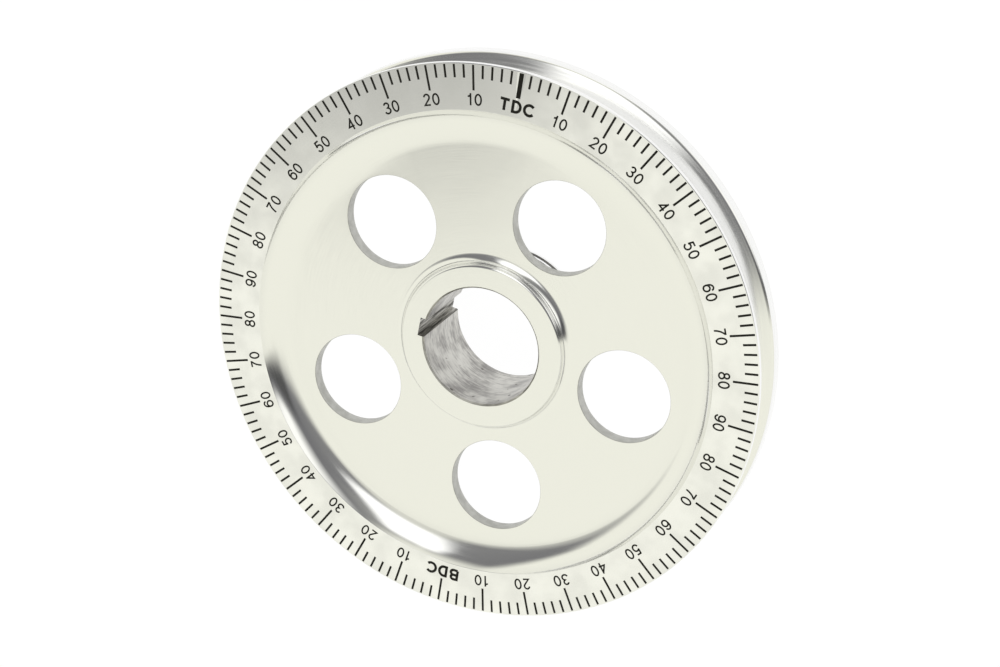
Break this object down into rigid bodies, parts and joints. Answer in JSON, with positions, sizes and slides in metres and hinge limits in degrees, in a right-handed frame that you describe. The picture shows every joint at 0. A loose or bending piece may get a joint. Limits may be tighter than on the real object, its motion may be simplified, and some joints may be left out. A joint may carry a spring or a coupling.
{
  "type": "crankshaft pulley",
  "caption": "Polished aluminium crankshaft belt pulley: dished web with lightening holes, keyed hub bore and a degree scale round the rim.",
  "frame": {"origin": "centre of the bore on the rear end of the hub", "axes": "+Z along the bore out of the scale face, +Y towards the wide zero mark"},
  "size_m": [0.175, 0.175, 0.0285],
  "materials": {
    "polished_aluminium": "polished, with a satin scale band and a rough bore"
  },
  "bodies": {
    "root": {"crankshaft_pulley": "polished_aluminium"}
  },
  "joints": []
}
